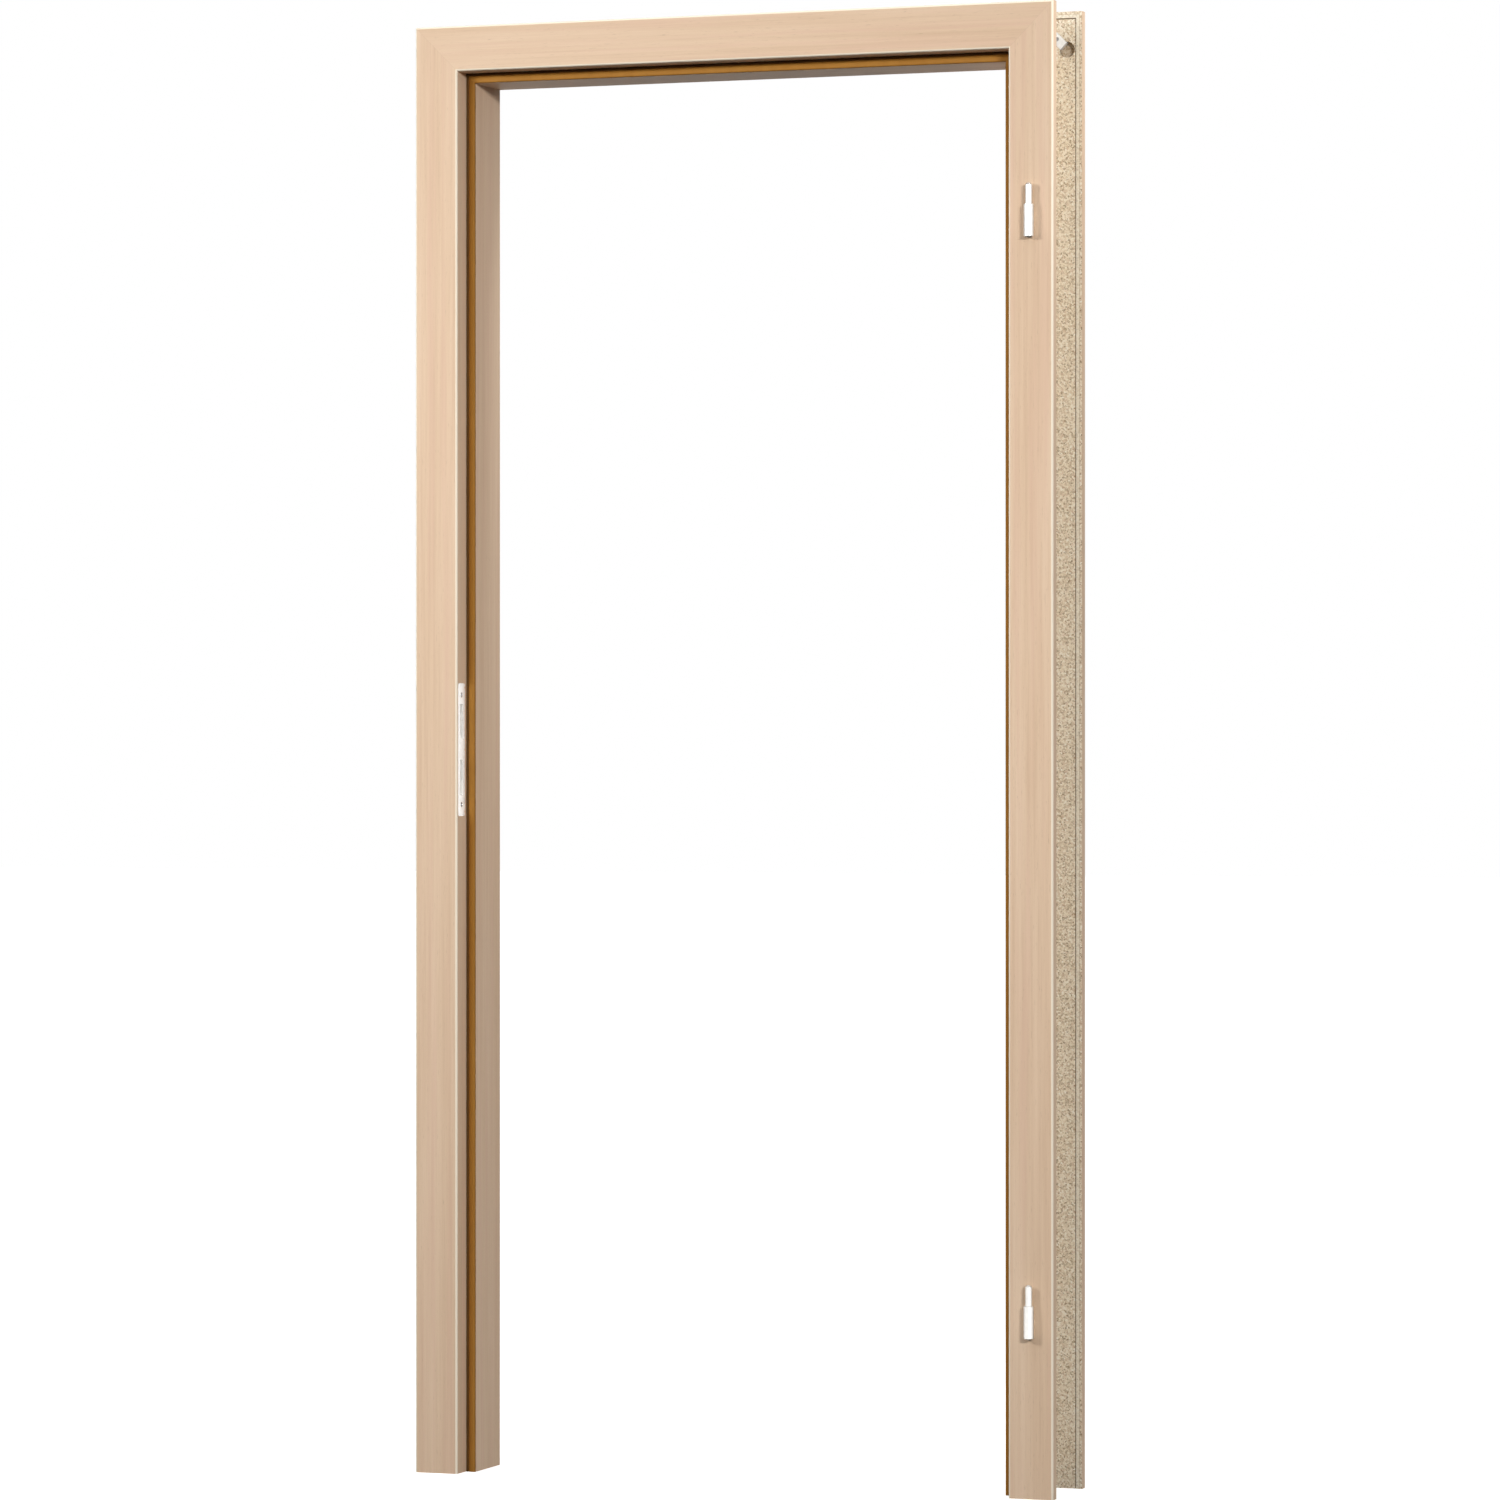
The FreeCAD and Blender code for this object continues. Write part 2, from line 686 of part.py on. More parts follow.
def hinge_pin(end):
    """A pin pressed into its knuckle by a thicker seat, with a tapered tip."""
    body = new_body(f"hinge_pin_{end}")
    foot = (HINGE_X, "-hinge_standoff", f"{HINGE_ENDS[end]} - pin_seat_length")
    collar = (HINGE_X, "-hinge_standoff", f"{HINGE_ENDS[end]} + pin_collar")
    tip = (HINGE_X, "-hinge_standoff", f"{HINGE_ENDS[end]} + pin_length - pin_tip_length")
    cylinder(body, "seat", foot, (0, 0, 1), "pin_seat_diameter / 2", "pin_seat_length + pin_collar")
    cylinder(body, "pin", collar, (0, 0, 1), "pin_diameter / 2",
             "pin_length - pin_tip_length - pin_collar")
    cone(body, "tip", tip, (0, 0, 1), ("pin_diameter / 2", "pin_tip_diameter / 2"), "pin_tip_length")
    return body


def receiver_screw_start(end):
    return (f"{LINING_SIDE} + receiver_leg_thickness", "rebate_depth + receiver_screw_inset",
            hinge_middle(end))


def hinge_receiver(end):
    """A steel angle: a block behind the casing that grips the shank, and a leg on the lining."""
    body = new_body(f"hinge_receiver_{end}")
    leg_face = f"{LINING_SIDE} + receiver_leg_thickness"
    block_end = f"{HINGE_X} + receiver_reach"
    block_back = "casing_depth - receiver_setback"
    leg_end = "rebate_depth + receiver_leg_reach"
    sketch = sketch_on(body, "section", "XY_Plane", f"{hinge_middle(end)} - receiver_length / 2")
    add_outline(sketch, [
        (LINING_SIDE, "receiver_floor"),
        (block_end, "receiver_floor"),
        (block_end, block_back),
        (leg_face, block_back),
        (leg_face, leg_end),
        (LINING_SIDE, leg_end),
    ])
    pad(body, "angle", sketch, "receiver_length")
    cylinder(body, "shank_bore", (HINGE_X, "receiver_floor", hinge_middle(end)), (0, 1, 0),
             "shank_diameter / 2 + shank_play", f"{block_back} - receiver_floor", cut=True)
    cylinder(body, "clamp_thread", (LINING_SIDE, CLAMP_DEPTH, hinge_middle(end)), (1, 0, 0),
             "clamp_screw_diameter / 2 + clamp_play", f"{HINGE_X} - {LINING_SIDE}", cut=True)
    screw_hole(body, receiver_screw_start(end), (-1, 0, 0), "receiver_leg_thickness")
    countersink(body, receiver_screw_start(end), (-1, 0, 0))
    return body


def seat_hinges(casing, lining):
    """The holes and pockets that the hinges need in the right casing and the right lining."""
    for end in HINGE_ENDS:
        box(casing, "receiver_pocket",
            (LINING_SIDE, "receiver_floor", f"{hinge_middle(end)} - receiver_length / 2 - receiver_play"),
            (f"{HINGE_X} + receiver_reach + receiver_play - {LINING_SIDE}",
             "board_thickness - receiver_floor", "receiver_length + 2 * receiver_play"), cut=True)
        cylinder(casing, "shank_hole", (HINGE_X, "0", hinge_middle(end)), (0, 1, 0),
                 "shank_diameter / 2 + shank_hole_play", "receiver_floor", cut=True)
        cylinder(casing, "access_hole", (HALF_REBATE, CLAMP_DEPTH, hinge_middle(end)), (1, 0, 0),
                 "clamp_screw_diameter / 2 + access_play", "lining_thickness - rebate_step", cut=True)
        screw_hole(lining, receiver_screw_start(end), (-1, 0, 0), "screw_length")


def hinge_clamp_screws():
    body = new_body("hinge_clamp_screws")
    start_x = f"({HINGE_X} - shank_diameter / 2 - clamp_screw_gap - clamp_screw_length)"
    for end in HINGE_ENDS:
        socket_screw(body, (start_x, CLAMP_DEPTH, hinge_middle(end)), (1, 0, 0), "clamp_screw_length")
    return body


def hinge_receiver_screws():
    body = new_body("hinge_receiver_screws")
    for end in HINGE_ENDS:
        wood_screw(body, receiver_screw_start(end), (-1, 0, 0), "screw_length")
    return body


# Corners of the lining

def dowel_start(side, depth, length):
    """The jamb end of a dowel whose middle is on the mitre, half way through the lining."""
    reach = f"({length}) / 2 / sqrt(2)"
    return (f"{side} * ({HALF_PASSAGE} + lining_thickness / 2 + {reach})", depth,
            f"passage_height + lining_thickness / 2 - {reach}")


def lining_dowels(side_name):
    side = SIDES[side_name]
    body = new_body(f"lining_dowels_{side_name}")
    for depth in CORNER_DOWEL_DEPTHS:
        cylinder(body, "dowel", dowel_start(side, depth, "dowel_length"), (-side, 0, 1),
                 "dowel_diameter / 2", "dowel_length")
    return body


def seat_dowels(jamb, head, side):
    """The dowel holes of one corner of the lining."""
    length = "dowel_length + 2 * dowel_play"
    for board in (jamb, head):
        for depth in CORNER_DOWEL_DEPTHS:
            cylinder(board, "dowel_hole", dowel_start(side, depth, length), (-side, 0, 1),
                     "dowel_diameter / 2 + dowel_play", length, cut=True)


# The whole frame

front_casing = ring("front_casing", front_casing_section(),
                    [("rebate_step", "0"), (OUTER_ACROSS, "0")], "edge_radius")
back_casing = ring("back_casing", back_casing_section(),
                   [("rebate_step", BACK_FACE), (OUTER_ACROSS, BACK_FACE)], "edge_radius")
lining = ring("lining", lining_section(), [("0", LINING_END)], "lining_edge_radius")
ring("seal", seal_section(), [("seal_gap", SEAL_FRONT), (SEAL_LIP, SEAL_FRONT)], "seal_radius")

for layer, casing in (("front", front_casing), ("back", back_casing)):
    for side_name, side in SIDES.items():
        seat_connector(casing[side_name], side, layer, "jamb")
        seat_connector(casing["head"], side, layer, "head")
        mitre_connector(layer, side_name)
    wedge_screws(layer)

strike_plate()
strike_plate_screws()
seat_strike(front_casing["left"])

for hinge_end in HINGE_ENDS:
    hinge_knuckle(hinge_end)
    hinge_pin(hinge_end)
    hinge_receiver(hinge_end)
hinge_clamp_screws()
hinge_receiver_screws()
seat_hinges(front_casing["right"], lining["right"])

for side_name, side in SIDES.items():
    lining_dowels(side_name)
    seat_dowels(lining[side_name], lining["head"], side)

document.recompute()

for item in document.Objects:
    if "Invalid" in item.State or "Error" in item.State:
        raise RuntimeError(f"{item.Label} failed: {item.State}")
for sub_part in sub_parts:
    if sub_part.Shape.isNull() or not sub_part.Shape.isValid():
        raise RuntimeError(f"{sub_part.Label} has no valid shape")

os.makedirs("parts", exist_ok=True)
for sub_part in sub_parts:
    sub_part.Shape.exportStep(f"parts/{sub_part.Label}.step")
    print(sub_part.Label, len(sub_part.Shape.Solids), round(sub_part.Shape.Volume))
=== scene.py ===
import math

import bmesh
import bpy
from mathutils import Matrix, Vector


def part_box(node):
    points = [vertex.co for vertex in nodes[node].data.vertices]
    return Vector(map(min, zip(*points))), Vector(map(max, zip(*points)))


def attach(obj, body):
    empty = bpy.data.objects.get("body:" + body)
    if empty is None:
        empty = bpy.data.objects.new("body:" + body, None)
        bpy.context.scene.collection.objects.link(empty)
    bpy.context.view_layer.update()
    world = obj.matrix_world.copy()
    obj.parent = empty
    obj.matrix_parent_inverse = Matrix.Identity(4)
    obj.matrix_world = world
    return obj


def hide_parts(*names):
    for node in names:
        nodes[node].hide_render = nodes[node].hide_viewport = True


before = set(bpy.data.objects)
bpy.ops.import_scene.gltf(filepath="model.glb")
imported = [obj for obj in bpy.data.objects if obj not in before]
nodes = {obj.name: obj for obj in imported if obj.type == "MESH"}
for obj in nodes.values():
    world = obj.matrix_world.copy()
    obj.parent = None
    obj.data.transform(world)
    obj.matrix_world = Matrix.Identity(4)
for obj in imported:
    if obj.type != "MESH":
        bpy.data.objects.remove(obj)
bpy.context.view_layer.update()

# The faces of both casings and the clear passage, in metres. Outward means away from the passage.
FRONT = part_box("front_casing_left")[0][1]
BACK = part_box("back_casing_left")[1][1]
HALF_PASSAGE = 0.4
PASSAGE_HEIGHT = 2.0


def linear(red, green, blue):
    """A colour written as sRGB from 0 to 255, for a shader's socket."""
    def channel(value):
        value /= 255
        return value / 12.92 if value <= 0.04045 else ((value + 0.055) / 1.055) ** 2.4
    return (channel(red), channel(green), channel(blue), 1.0)


class Graph:
    """Short forms for building a material's nodes."""

    def __init__(self, name):
        self.material = bpy.data.materials.new(name)
        self.material.use_nodes = True
        self.tree = self.material.node_tree
        self.tree.nodes.clear()
        output = self.tree.nodes.new("ShaderNodeOutputMaterial")
        self.shader = self.tree.nodes.new("ShaderNodeBsdfPrincipled")
        self.tree.links.new(self.shader.outputs["BSDF"], output.inputs["Surface"])
        self.output = output

    def node(self, kind, inputs=None, **settings):
        item = self.tree.nodes.new("ShaderNode" + kind)
        for name, value in settings.items():
            setattr(item, name, value)
        for name, value in (inputs or {}).items():
            self.put(item.inputs[name], value)
        return item

    def put(self, socket, value):
        if isinstance(value, bpy.types.NodeSocket):
            self.tree.links.new(value, socket)
        else:
            socket.default_value = value

    def math(self, operation, first, second=0.0):
        return self.node("Math", {0: first, 1: second}, operation=operation).outputs[0]

    def mix(self, factor, first, second):
        item = self.node("Mix", data_type="RGBA")
        self.put(item.inputs[0], factor)
        self.put(item.inputs[6], first)
        self.put(item.inputs[7], second)
        return item.outputs[2]

    def place(self):
        return self.node("TexCoord").outputs["Object"]

    def stretched(self, place, scale, offset=(0, 0, 0)):
        return self.node("Mapping", {"Vector": place, "Scale": scale, "Location": offset}).outputs[0]

    def noise(self, place, scale=1.0, detail=3.0, roughness=0.55):
        item = self.node("TexNoise", {"Vector": place, "Scale": scale, "Detail": detail,
                                      "Roughness": roughness})
        return item.outputs["Fac"]

    def ramp(self, factor, *stops):
        item = self.node("ValToRGB", {0: factor})
        elements = item.color_ramp.elements
        while len(elements) < len(stops):
            elements.new(0.5)
        for element, (position, colour) in zip(elements, stops):
            element.position = position
            element.color = colour
        return item.outputs["Color"]

    def fit(self, value, low, high, new_low, new_high):
        item = self.node("MapRange", {0: value, 1: low, 2: high, 3: new_low, 4: new_high})
        return item.outputs[0]

    def bump(self, height, distance, strength):
        return self.node("Bump", {"Height": height, "Distance": distance, "Strength": strength}).outputs[0]

    def finish(self, **sockets):
        for name, value in sockets.items():
            self.put(self.shader.inputs[name.replace("_", " ")], value)
        return self.material


# Wood and chipboard

VENEER = ((0.0, linear(236, 210, 184)), (0.5, linear(229, 201, 173)), (1.0, linear(219, 188, 159)))
PINKISH = linear(226, 191, 168)
FIBRE_SHADE = linear(176, 140, 106)
PORE_SHADE = linear(150, 116, 84)
MITRE_SHADE = linear(120, 88, 60)
# Painted highlight on the roundings of the casings
EDGE_PAINTED_HIGHLIGHT = linear(255, 244, 224)
WARM_FLAKE = linear(206, 170, 138)
# Painted shade for chipboard sunk into a casing
RECESS_PAINTED_SHADE = linear(140, 116, 88)
RIM_STRIP = linear(250, 243, 226)
RIM_JOINT = linear(178, 152, 120)
# Painted shade: a dark line along the foot of the rim
RIM_FOOT_PAINTED_SHADE = linear(120, 98, 72)
FLAKES = ((0.0, linear(128, 105, 78)), (0.22, linear(203, 184, 155)), (0.45, linear(237, 222, 197)),
          (0.72, linear(250, 239, 219)), (1.0, linear(255, 253, 244)))

# Bands of a board, as distances outward from the passage
# The foot band carries painted shade
RIM_FOOT_SHADE_BAND = (0.0693, 0.0709)
STRIP_BAND = (0.0709, 0.0757)
JOINT_BAND = (0.0757, 0.0764)
RAW_BAND = (0.0155, 0.0797)
INNER_ROUNDING = (0.0173, 0.0178)
OUTER_ROUNDING = (0.0772, 0.0777)
LINING_RAW_START = 0.0148

# Depths behind a casing's own face
ROUNDING_DEPTH = (0.0021, 0.0029)
RAW_DEPTH = 0.002
SUNK_DEPTH = 0.0136
MITRE_WIDTH = (0.00012, 0.0005)


def across_frame(graph, place):
    """The place's coordinates, its distance outward and its distance to the mitre."""
    axes = graph.node("SeparateXYZ", {0: place}).outputs
    sideways = graph.math("SUBTRACT", graph.math("ABSOLUTE", axes[0]), HALF_PASSAGE)
    upwards = graph.math("SUBTRACT", axes[2], PASSAGE_HEIGHT)
    outward = graph.math("MAXIMUM", sideways, upwards)
    mitre = graph.math("ABSOLUTE", graph.math("SUBTRACT", sideways, upwards))
    return axes, outward, mitre


def behind_front(graph, axes):
    return graph.math("SUBTRACT", axes[1], FRONT)


def behind_back(graph, axes):
    return graph.math("SUBTRACT", BACK, axes[1])


def within(graph, value, band):
    return graph.math("MULTIPLY", graph.math("GREATER_THAN", value, band[0]),
                      graph.math("LESS_THAN", value, band[1]))


def veneer_colour(graph, place, along, seed):
    """Fine straight-grained veneer: its colour and the height of its fibres."""
    def stretched(across_scale, along_scale, shift):
        scale = [across_scale] * 3
        scale[along] = along_scale
        return graph.stretched(place, scale, (seed * 3.1 + shift, seed * 1.7, seed * 2.3 - shift))
    drift = graph.noise(stretched(24, 0.9, 0.0), detail=2.0)
    streaks = graph.noise(stretched(210, 3.2, 4.0), detail=5.0, roughness=0.62)
    fibres = graph.noise(stretched(1500, 22, 9.0), detail=3.0, roughness=0.6)
    pores = graph.noise(stretched(1100, 75, 14.0), detail=2.0)
    blend = graph.math("ADD", graph.math("MULTIPLY", drift, 0.45), graph.math("MULTIPLY", streaks, 0.55))
    colour = graph.ramp(graph.fit(blend, 0.32, 0.68, 0.0, 1.0), *VENEER)
    dark = graph.fit(fibres, 0.45, 0.75, 0.0, 0.09)
    colour = graph.mix(dark, colour, FIBRE_SHADE)
    pore = graph.fit(pores, 0.64, 0.72, 0.0, 0.22)
    colour = graph.mix(pore, colour, PORE_SHADE)
    hue = graph.noise(stretched(75, 1.6, 21.0), detail=2.0)
    colour = graph.mix(graph.fit(hue, 0.48, 0.66, 0.0, 0.42), colour, PINKISH)
    height = graph.math("SUBTRACT", fibres, graph.math("MULTIPLY", pore, 2.0))
    return colour, height


def chipboard_colour(graph, place, seed):
    """Pressed flakes of a few millimetres, with darker gaps between some of them."""
    shift = (seed, seed * 0.7, seed * 1.3)
    moved = graph.node("VectorMath", {0: place, 1: shift}, operation="ADD").outputs[0]

    def flakes(scale):
        cells = graph.node("TexVoronoi", {"Vector": moved, "Scale": scale, "Randomness": 1.0})
        return graph.node("SeparateColor", {0: cells.outputs["Color"]}).outputs
    large, small = flakes(470.0), flakes(1050.0)
    value = graph.math("ADD", graph.math("MULTIPLY", large[0], 0.65),
                       graph.math("MULTIPLY", small[1], 0.35))
    colour = graph.ramp(value, *FLAKES)
    warm = graph.fit(large[2], 0.72, 1.0, 0.0, 0.45)
    colour = graph.mix(warm, colour, WARM_FLAKE)
    height = graph.math("ADD", large[1], graph.math("MULTIPLY", small[0], 0.5))
    return colour, height


def rim_colour(graph, chips, outward):
    """The rim is a paler strip glued along the board, with its own edge strip and a line of painted shade
    along its foot.
    """
    bands = ((STRIP_BAND, 0.55, RIM_STRIP), (JOINT_BAND, 0.6, RIM_JOINT), (RIM_FOOT_SHADE_BAND, 0.75, RIM_FOOT_PAINTED_SHADE))
    for band, share, colour in bands:
        chips = graph.mix(graph.math("MULTIPLY", within(graph, outward, band), share), chips, colour)
    return chips


def paint_edge_highlight(graph, veneer, axes, outward):
    """The roundings of a casing are mixed towards a pale tone: a painted highlight."""
    near_front = graph.fit(behind_front(graph, axes), *ROUNDING_DEPTH, 1.0, 0.0)
    near_back = graph.fit(behind_back(graph, axes), *ROUNDING_DEPTH, 1.0, 0.0)
    outer = graph.fit(outward, *OUTER_ROUNDING, 0.0, 1.0)
    inner = graph.fit(outward, *INNER_ROUNDING, 1.0, 0.0)
    rounding = graph.math("MULTIPLY", graph.math("MAXIMUM", outer, inner),
                          graph.math("MAXIMUM", near_front, near_back))
    return graph.mix(graph.math("MULTIPLY", rounding, 0.95), veneer, EDGE_PAINTED_HIGHLIGHT)


def board_material(name, along, seed, is_raw):
    """Veneer where the board is faced and chipboard where it is raw."""
    graph = Graph(name)
    place = graph.place()
    axes, outward, mitre = across_frame(graph, place)
    veneer, fibres = veneer_colour(graph, place, along, seed)
    chips, flakes = chipboard_colour(graph, place, seed)
    chips = rim_colour(graph, chips, outward)
    raw = is_raw(graph, axes, outward)
    line = graph.fit(mitre, *MITRE_WIDTH, 0.12, 0.0)
    in_corner = graph.math("GREATER_THAN", outward, -0.001)
    veneer = graph.mix(graph.math("MULTIPLY", line, in_corner), veneer, MITRE_SHADE)
    veneer = paint_edge_highlight(graph, veneer, axes, outward)
    # Raw chipboard closer than SUNK_DEPTH behind either casing face is darkened: painted shade in the
    # recesses.
    deep_front = graph.math("LESS_THAN", behind_front(graph, axes), SUNK_DEPTH)
    deep_back = graph.math("LESS_THAN", behind_back(graph, axes), SUNK_DEPTH)
    recess_shade = graph.math("MULTIPLY", graph.math("MAXIMUM", deep_front, deep_back), 0.5)
    chips = graph.mix(recess_shade, chips, RECESS_PAINTED_SHADE)
    colour = graph.mix(raw, veneer, chips)
    fibre_bump = graph.bump(fibres, 0.00006, 0.5)
    flake_bump = graph.bump(flakes, 0.0003, 0.6)
    normal = graph.node("Mix", {0: raw}, data_type="VECTOR")
    graph.put(normal.inputs[4], fibre_bump)
    graph.put(normal.inputs[5], flake_bump)
    rough = graph.math("ADD", graph.fit(fibres, 0.3, 0.7, 0.42, 0.54), graph.math("MULTIPLY", raw, 0.35))
    return graph.finish(Base_Color=colour, Roughness=rough, Normal=normal.outputs[1],
                        Specular_IOR_Level=0.04)


def casing_raw(graph, depth, outward):
    return graph.math("MULTIPLY", within(graph, outward, RAW_BAND),
                      graph.math("GREATER_THAN", depth, RAW_DEPTH))


def front_casing_raw(graph, axes, outward):
    return casing_raw(graph, behind_front(graph, axes), outward)


def back_casing_raw(graph, axes, outward):
    return casing_raw(graph, behind_back(graph, axes), outward)


def lining_raw(graph, axes, outward):
    return graph.math("GREATER_THAN", outward, LINING_RAW_START)


def dress(node, material):
    slots = nodes[node].material_slots
    if not slots:
        nodes[node].data.materials.append(material)
    for slot in slots:
        slot.material = material


ALONG = {"left": 2, "right": 2, "head": 0}
RINGS = {"front_casing": front_casing_raw, "back_casing": back_casing_raw, "lining": lining_raw}
for ring_index, (ring, is_raw) in enumerate(RINGS.items()):
    for side_index, (side, along) in enumerate(ALONG.items()):
        seed = 1.0 + ring_index * 5.3 + side_index * 1.9
        dress(f"{ring}_{side}", board_material(f"veneer_{ring}_{side}", along, seed, is_raw))


# Seal, metals and dowels

SEAL_TONES = (linear(178, 126, 55), linear(169, 117, 49))
# Painted shade for the seal's flange and the passage edge of its bulb
SEAL_PAINTED_SHADE = linear(44, 30, 14)
FLANGE_START = (0.0106, 0.0112)
BULB_EDGE = (0.0006, 0.0012)
METAL_SPOT = linear(150, 148, 144)


def rubber_material(name):
    """Brown rubber, with painted shade on the flange and a painted shadow along the passage edge of the
    bulb.
    """
    graph = Graph(name)
    place = graph.place()
    cloud = graph.noise(graph.stretched(place, (60, 60, 9)), detail=3.0)
    skin = graph.noise(place, scale=2600.0, detail=2.0)
    tone = graph.mix(graph.fit(cloud, 0.3, 0.7, 0.0, 1.0), *SEAL_TONES)
    outward = across_frame(graph, place)[1]
    # Painted shade on the flange and painted shadow along the bulb's edge by the passage.
    flange = graph.fit(outward, *FLANGE_START, 0.0, 0.78)
    edge = graph.fit(outward, *BULB_EDGE, 0.4, 0.0)
    tone = graph.mix(graph.math("MAXIMUM", flange, edge), tone, SEAL_PAINTED_SHADE)
    normal = graph.bump(skin, 0.00005, 0.35)
    return graph.finish(Base_Color=tone, Roughness=graph.fit(skin, 0.3, 0.7, 0.55, 0.68), Normal=normal,
                        Specular_IOR_Level=0.12)


def metal_material(name, colour, roughness, grain=(400, 400, 400), metallic=1.0):
    """Metal with fine brushing along the grain and faint spots."""
    graph = Graph(name)
    place = graph.place()
    brushed = graph.noise(graph.stretched(place, grain), detail=4.0, roughness=0.7)
    spots = graph.noise(place, scale=220.0, detail=3.0)
    tone = graph.mix(graph.fit(spots, 0.35, 0.7, 0.0, 0.12), colour, METAL_SPOT)
    rough = graph.fit(brushed, 0.25, 0.75, roughness - 0.06, roughness + 0.08)
    return graph.finish(Base_Color=tone, Metallic=metallic, Roughness=rough,
                        Normal=graph.bump(brushed, 0.00002, 0.5))


seal_brown = rubber_material("seal_brown")
nickel = metal_material("nickel", linear(226, 225, 222), 0.36, (900, 900, 60))
# Dark grey for the knuckle plugs: painted shade under the knuckles
plug_painted_shade = metal_material("plug_painted_shade", linear(96, 94, 90), 0.6, metallic=0.2)
satin_white = metal_material("satin_white", linear(253, 253, 252), 0.72, (60, 60, 900))
cast_zinc = metal_material("cast_zinc", linear(248, 249, 250), 0.62, metallic=0.7)
zinc_plate = metal_material("zinc_plate", linear(196, 198, 202), 0.36)


def plastic_material(name):
    graph = Graph(name)
    skin = graph.noise(graph.place(), scale=900.0, detail=2.0)
    colour = graph.mix(graph.fit(skin, 0.3, 0.7, 0.0, 0.3), linear(252, 252, 250), linear(240, 240, 236))
    return graph.finish(Base_Color=colour, Roughness=graph.fit(skin, 0.3, 0.7, 0.4, 0.5),
                        Normal=graph.bump(skin, 0.00003, 0.4))


def beech_material(name):
    graph = Graph(name)
    grain = graph.noise(graph.stretched(graph.place(), (500, 500, 500)), detail=4.0)
    colour = graph.mix(graph.fit(grain, 0.3, 0.7, 0.0, 1.0), linear(216, 176, 130), linear(190, 146, 100))
    return graph.finish(Base_Color=colour, Roughness=0.6, Normal=graph.bump(grain, 0.0001, 0.5))


white_plastic = plastic_material("white_plastic")
beech = beech_material("beech")
FINISHES = {"seal": seal_brown, "strike": satin_white, "hinge_knuckle": nickel, "hinge_pin": nickel,
            "mitre_connector": cast_zinc, "wedge_screws": zinc_plate, "hinge_receiver": zinc_plate,
            "hinge_clamp": zinc_plate, "lining_dowels": beech}
for node in nodes:
    for start, material in FINISHES.items():
        if node.startswith(start):
            dress(node, material)


# Detailed pieces

SHARP_ANGLE = math.radians(32)
TURNED_STEPS = 48


def add_piece(name, shape, material):
    """A smooth piece that belongs to the frame body."""
    mesh = bpy.data.meshes.new(name)
    bmesh.ops.recalc_face_normals(shape, faces=shape.faces[:])
    shape.to_mesh(mesh)
    shape.free()
    for polygon in mesh.polygons:
        polygon.use_smooth = True
    mesh.set_sharp_from_angle(angle=SHARP_ANGLE)
    mesh.materials.append(material)
    piece = bpy.data.objects.new(name, mesh)
    bpy.context.collection.objects.link(piece)
    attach(piece, "frame")
    return piece


def add_ring(shape, radius, height):
    """A circle of vertices about Z."""
    angles = [2 * math.pi * step / TURNED_STEPS for step in range(TURNED_STEPS)]
    return [shape.verts.new((radius * math.cos(angle), radius * math.sin(angle), height))
            for angle in angles]


def join_rings(shape, first, second):
    count = len(first)
    for step in range(count):
        after = (step + 1) % count
        shape.faces.new((first[step], first[after], second[after], second[step]))


def lathe(profile):
    """A closed solid turned about Z from (radius, height) pairs; its two ends are flat."""
    shape = bmesh.new()
    rings = [add_ring(shape, radius, height) for radius, height in profile]
    for first, second in zip(rings, rings[1:]):
        join_rings(shape, first, second)
    shape.faces.new(rings[0])
    shape.faces.new(rings[-1])
    return shape


# Wood screws

HEAD_RADIUS = 0.0038
HEAD_LENGTH = 0.002
SHANK_RADIUS = 0.002
HEAD_EDGE = 0.00015
RECESS_DEPTH = 0.0019
THREAD_PITCH = SHANK_RADIUS * 0.9
THREAD_ROOT = SHANK_RADIUS * 0.74


def cross_loop(shape, reach, width, height):
    """The outline of a cross with four arms, as a loop of vertices."""
    corners = []
    for turn in range(4):
        angle = math.pi / 2 * turn
        for x, y in ((width, -width), (reach, -width), (reach, width)):
            corners.append((x * math.cos(angle) - y * math.sin(angle),
                            x * math.sin(angle) + y * math.cos(angle), height))
    return [shape.verts.new(corner) for corner in corners]


def loop_edges(shape, loop):
    return [shape.edges.new((loop[index - 1], loop[index])) for index in range(len(loop))]


def wood_screw_shape(length):
    """Its head is at Z = 0 and it points down: a countersunk head with a cross recess and a thread."""
    shape = bmesh.new()
    rim = add_ring(shape, HEAD_RADIUS - HEAD_EDGE, 0.0)
    cross = cross_loop(shape, HEAD_RADIUS * 0.6, HEAD_RADIUS * 0.17, 0.0)
    edges = loop_edges(shape, rim) + loop_edges(shape, cross)
    bmesh.ops.triangle_fill(shape, edges=edges, use_beauty=True, use_dissolve=False)
    inside = [face for face in shape.faces if all(vertex in cross for vertex in face.verts)]
    bmesh.ops.delete(shape, geom=inside, context="FACES_ONLY")
    foot = cross_loop(shape, HEAD_RADIUS * 0.34, HEAD_RADIUS * 0.1, -RECESS_DEPTH)
    join_rings(shape, cross, foot)
    shape.faces.new(foot)
    profile = [(HEAD_RADIUS, -0.00012), (HEAD_RADIUS, -0.0003), (SHANK_RADIUS, -HEAD_LENGTH)]
    height = -HEAD_LENGTH - THREAD_PITCH
    while height > -length + THREAD_PITCH * 2:
        profile += [(THREAD_ROOT, height), (SHANK_RADIUS, height - THREAD_PITCH * 0.42),
                    (THREAD_ROOT, height - THREAD_PITCH * 0.55)]
        height -= THREAD_PITCH
    profile += [(SHANK_RADIUS * 0.7, -length + THREAD_PITCH * 1.6), (SHANK_RADIUS * 0.12, -length)]
    last = rim
    for radius, level in profile:
        ring = add_ring(shape, radius, level)
        join_rings(shape, last, ring)
        last = ring
    shape.faces.new(last)
    return shape


